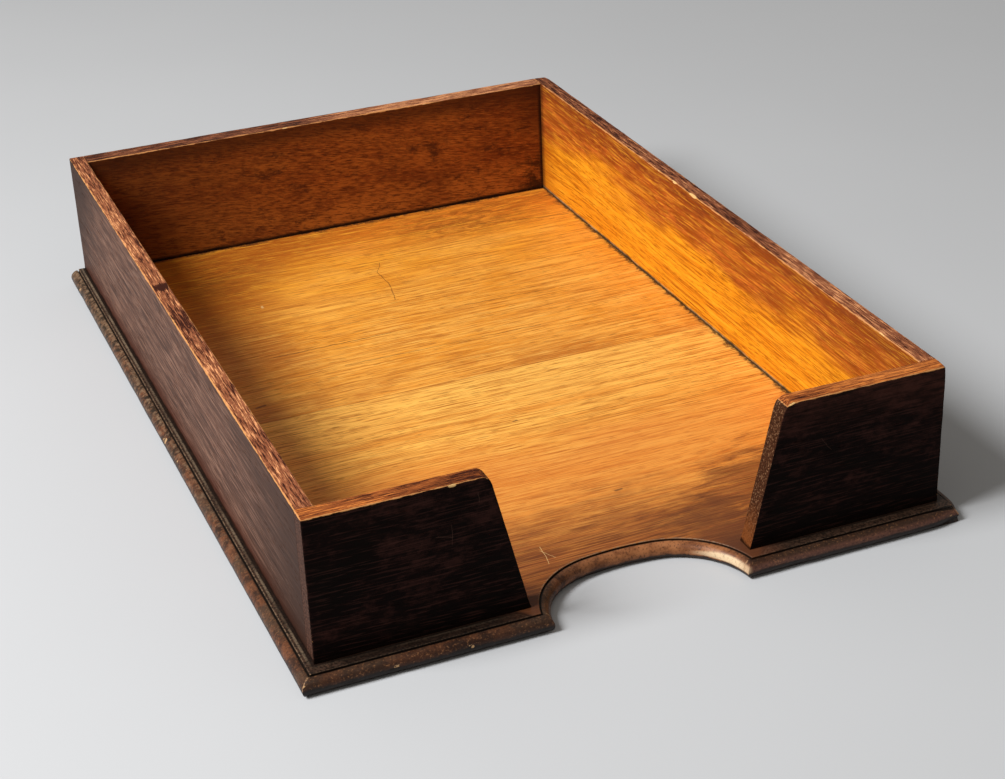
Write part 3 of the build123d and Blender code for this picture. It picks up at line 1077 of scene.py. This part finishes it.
def moulded_edge(paint, colour, blotch):
    """The narrow flat outside the walls, brown with a line of dust, painted shade in the crease by the
    walls and in the quirk, and a painted highlight along its arris. The moulding round it is rubbed
    red-brown, with painted shade under the nose and on its front, painted bounce light on its right front
    belly and a painted highlight by the right horn."""
    specks = paint.noise(0.9, 3.0, 0.7)
    lumps = paint.noise(26, 2.0, 0.5)
    across = paint.across
    ahead = paint.minus(CASE_FRONT, paint.y)
    ahead = paint.plus(ahead, paint.ramp(across, FOOT + 8, FOOT - 6, -14))
    out = paint.most(paint.minus(across, HALF_CASE), ahead)
    rearward = paint.ramp(paint.y, CASE_FRONT, 150)
    in_front = paint.ramp(paint.y, CASE_FRONT + 2, CASE_FRONT - 1)
    darker = paint.least(paint.ramp(paint.x, 30, -30, 0.65, 0.1), paint.ramp(paint.x, -124, -112))
    by_foot = paint.times(paint.ramp(across, FOOT + 16, FOOT + 2), paint.ramp(specks, 0.34, 0.5, 0.8, 0.35))
    by_foot = paint.times(by_foot, in_front, paint.ramp(paint.x, -30, 30, 0.7, 0.25))
    dusty = paint.least(paint.ramp(out, 0.9, 1.4), paint.ramp(out, 2.3, 1.8))
    thick = paint.times(paint.ramp(specks, 0.34, 0.56, 0.9, 0.2), paint.ramp(lumps, 0.38, 0.55, 1.0, 0.3))
    beside = paint.ramp(paint.y, CASE_FRONT, CASE_FRONT + 8, 0.7, 0.12)
    thick = paint.times(thick, paint.most(beside, rearward))
    margin = paint.coats(
        paint.mix(paint.ramp(specks, 0.4, 0.6), (0.009, 0.005, 0.003), (0.06, 0.031, 0.019)),
        # painted shade in the crease at the foot of the walls, on the margin's inner edge
        (paint.ramp(out, 2.0, 0.6, 0.8), CREASE_SHADE),
        (in_front, darker, (0.005, 0.0024, 0.0015)),
        (by_foot, (0.14, 0.05, 0.025)),
        (dusty, thick, DUST),
    )

    mould = paint.noise(2.6, 3.0, 0.7)
    beyond = paint.ramp(paint.y, -150, 60, 1.0, 0.1)
    crest = paint.times(paint.ramp(paint.above, -1.3, -0.5), paint.ramp(mould, 0.42, 0.56))
    # painted shade on the front of the nose, stronger to the right; lower down the left belly is painted
    # darker and the right belly lighter with painted bounce light
    front_nose_shade = paint.ramp(paint.y, CASE_FRONT - 3, CASE_FRONT - 6, 0.4)
    front_nose_shade = paint.plus(front_nose_shade, paint.times(front_nose_shade, paint.ramp(paint.x, 0.0, 30, 0.6)))
    belly_shade_and_bounce = paint.mix(paint.ramp(paint.x, -20, 20), (0.022, 0.007, 0.0035), (0.12, 0.05, 0.034))
    on_arch = paint.ramp(across, FOOT - 3, FOOT - 7)
    gilt = paint.mix(paint.ramp(blotch, 0.36, 0.6), (0.2, 0.066, 0.022), (0.37, 0.14, 0.05))
    # a rubbed pale patch with a painted highlight on the belly of the nose by the right horn
    height = paint.plus(paint.z, paint.times(paint.ramp(paint.x, 27, 38), -1.2))
    belly = paint.least(paint.ramp(height, 4.6, 3.7), paint.ramp(paint.z, 2.4, 3.1))
    rub_and_highlight = paint.times(on_arch, belly, paint.ramp(paint.x, 25, 35, 0.95))
    # painted shade and dirt under the nose: dark below a wavering height
    level = paint.plus(paint.z, paint.swing(blotch, 2), on_arch)
    under = paint.ramp(level, 3.9, 2.9, 0.95)
    worn = paint.coats(
        paint.mix(paint.ramp(blotch, 0.38, 0.6), (0.033, 0.012, 0.006), (0.13, 0.044, 0.017)),
        (paint.ramp(lumps, 0.52, 0.4, 0.7), (0.065, 0.034, 0.018)),
        (paint.ramp(paint.y, 40, 150, 0.6), (0.1, 0.062, 0.034)),
        (beyond, paint.ramp(mould, 0.5, 0.4, 0.9), (0.018, 0.012, 0.006)),
        (beyond, paint.ramp(mould, 0.54, 0.64, 0.6), (0.24, 0.15, 0.085)),
        (crest, beyond, 0.5, (0.26, 0.17, 0.1)),
        (front_nose_shade, (0.016, 0.007, 0.0045)),
        (front_nose_shade, paint.ramp(paint.z, 6.0, 4.6, 1.3), belly_shade_and_bounce),
        (on_arch, paint.ramp(paint.x, -34, 4, 0.9), gilt),
        (paint.ramp(specks, 0.56, 0.68, 0.45), (0.34, 0.15, 0.06)),
        (paint.ramp(specks, 0.46, 0.34, 0.7), (0.018, 0.008, 0.005)),
        (rub_and_highlight, paint.ramp(specks, 0.3, 0.5, 1.0, 0.6), (0.78, 0.58, 0.36)),
        (under, (0.008, 0.005, 0.004)),
    )
    colour = paint.mix(paint.ramp(out, -3, 0.5), colour, margin)
    colour = paint.mix(paint.attribute("nose"), colour, worn)
    for start, end in MITRES:
        line = paint.stroke((*start, 0), (*end, 0), 0.4)
        line = paint.times(line, paint.ramp(specks, 0.35, 0.5, 0.7, 0.1), paint.ramp(under, 1.0, 0.0))
        colour = paint.mix(line, colour, (0.36, 0.2, 0.1))
    # painted highlight along the arris of the flat, dotted, faint on the front and strongest on the sides
    # and the arch
    edge = paint.ramp(paint.attribute("arris"), 0.3, 0.8)
    line = paint.times(edge, paint.ramp(specks, 0.4, 0.6, 0.8, 0.1), paint.most(beside, on_arch))
    # the quirk painted dark: dirt and painted shade in the groove, with gaps
    gaps = paint.times(paint.ramp(blotch, 0.34, 0.46, 0.95, 0.55), paint.ramp(rearward, 0.2, 0.8, 0.5, 1.0))
    return paint.coats(
        colour,
        (line, (0.3, 0.19, 0.11)),
        (paint.attribute("quirk"), gaps, (0.01, 0.006, 0.004)),
    )


def floor_grime(paint, colour, cloudy):
    """Brown dirt where the floor meets the walls, inside and out."""
    walls = ((paint.across, INNER_SIDE), (paint.y, INNER_BACK), (paint.across, HALF_CASE))
    gap = paint.least(*[paint.math("ABSOLUTE", paint.minus(*wall)) for wall in walls])
    reach = paint.ramp(cloudy, 0.42, 0.68, 6.0, 0.8)
    share = paint.ramp(paint.math("DIVIDE", gap, reach), 0.1, 1.0, 0.0, 0.9)
    specks = paint.noise(1.6, 3.0, 0.7)
    share = paint.times(share, paint.ramp(specks, 0.4, 0.52, 1.0, 0.45))
    return paint.mix(share, colour, (0.06, 0.021, 0.009))


def base_wood(name):
    """Wood for the base: a golden floor with a dirty margin and a worn moulding, and painted shade and
    highlights on the margin and the moulding.
    """
    paint = Paint(name)
    grain = Grain(paint, 0, 0.0)
    cloudy = paint.noise((35, 22, 30), 4.0, 0.6)
    patchy = paint.noise((12, 9, 9), 4.0, 0.7)
    blotch = paint.noise((8, 6, 6), 4.0, 0.65)
    colour = tray_floor(paint, grain, cloudy)
    underside = paint.mix(paint.ramp(cloudy, 0.35, 0.65), (0.13, 0.065, 0.03), (0.24, 0.125, 0.06))
    underside = paint.mix(paint.ramp(grain.streak, 0.5, 0.36, 0.5), underside, (0.07, 0.034, 0.016))
    colour = paint.mix(paint.ramp(paint.z, 0.4, 0.1), colour, underside)
    colour = floor_grime(paint, colour, patchy)
    colour = moulded_edge(paint, colour, blotch)
    rear_stain = paint.mix(paint.ramp(blotch, 0.38, 0.62), (0.014, 0.006, 0.004), (0.06, 0.022, 0.011))
    ragged = paint.noise(2, 3.0, 0.7)
    fresh = paint.times(paint.attribute("chip"), paint.ramp(ragged, 0.35, 0.6, 1.3, 0.3))
    colour = paint.coats(
        colour,
        (paint.ramp(paint.y, REAR - 0.3, REAR - 0.1), rear_stain),
        (paint.ramp(fresh, 0.6, 0.75, 0.85), FRESH_BASE),
    )
    return grain.finish(paint, colour, 0.36, 0.015, 0.25)


def brad_iron():
    """Dull dark iron for the brads."""
    paint = Paint("brad_iron_worn")
    rust = paint.noise(1.5, 4.0, 0.6)
    colour = paint.mix(paint.ramp(rust, 0.45, 0.65), (0.05, 0.046, 0.044), (0.12, 0.05, 0.025))
    roughness = paint.ramp(rust, 0.3, 0.7, 0.8, 0.45)
    return paint.finish(colour, roughness, paint.times(rust, 0.05), 0.6, 0.5)


def dress_tray():
    """Every board in its worn form, and the brads in dark iron."""
    side_wood = case_wood("side_wood_worn", 1, 0.0, SIDE_STAIN, side_inner_face, 0.05, SIDE_RUBBING)
    back_wood = case_wood("back_wood_worn", 0, 0.13, FRONT_STAIN, back_inner_face, 0.1, BACK_RUBBING)
    front_looks = (FRONT_STAIN, back_inner_face, 0.03, FRONT_RUBBING, front_marks)
    front_wood = case_wood("front_wood_worn", 0, 0.0, *front_looks)
    wall_board("left_side", glued_side, (0, -INNER_SIDE), side_wood)
    wall_board("right_side", glued_side, (0, INNER_SIDE), side_wood)
    wall_board("back", glued_back, (1, INNER_BACK), back_wood)
    return_board("left_front_return", front_wood)
    return_board("right_front_return", front_wood)
    golden = base_wood("base_wood_worn")
    base_board("front_base_worn", "front_base_board", front_plan, True, golden)
    base_board("rear_base_worn", "rear_base_board", rear_plan, False, golden)
    iron = brad_iron()
    for name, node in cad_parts.items():
        if name.endswith("brads"):
            for place in node.material_slots:
                place.material = iron


def add_floor():
    """The plain pale surface that the tray stands on."""
    corners = [(x * FLOOR_HALF, y * FLOOR_HALF, 0) for x, y in ((-1, -1), (1, -1), (1, 1), (-1, 1))]
    mesh = bpy.data.meshes.new("floor")
    mesh.from_pydata(corners, [], [(0, 1, 2, 3)])
    paint = Paint("pale_floor")
    mottle = paint.noise(250, 3.0, 0.5)
    colour = paint.mix(mottle, (0.54, 0.55, 0.565), (0.58, 0.59, 0.605))
    mesh.materials.append(paint.finish(colour, 0.9, 0.0, 0.0, 0.2))
    new_object("floor", mesh)


def add_light():
    """A large soft lamp on the left, and an even pale sky."""
    lamp = bpy.data.lights.new("key", "AREA")
    lamp.shape = "DISK"
    lamp.size = LAMP_SIZE
    lamp.energy = LAMP_POWER
    key = new_object("key", lamp)
    key.location = LAMP_PLACE
    aim = Vector(LAMP_AIM) - Vector(LAMP_PLACE)
    key.rotation_euler = aim.to_track_quat("-Z", "Y").to_euler()
    world = bpy.data.worlds.new("sky")
    world.use_nodes = True
    back = world.node_tree.nodes["Background"]
    back.inputs[0].default_value = SKY_COLOUR
    back.inputs[1].default_value = SKY_LEVEL
    bpy.context.scene.world = world


def add_camera():
    """The photograph's view of the tray."""
    data = bpy.data.cameras.new("camera")
    data.sensor_width = SENSOR
    data.lens = CAMERA_LENS
    data.clip_start = CAMERA_NEAR
    camera = new_object("camera", data)
    camera.location = CAMERA_PLACE
    camera.rotation_euler = Euler([math.radians(a) for a in CAMERA_TURN])
    bpy.context.scene.camera = camera


bpy.context.scene.view_settings.view_transform = "Standard"
dress_tray()
add_floor()
add_light()
add_camera()
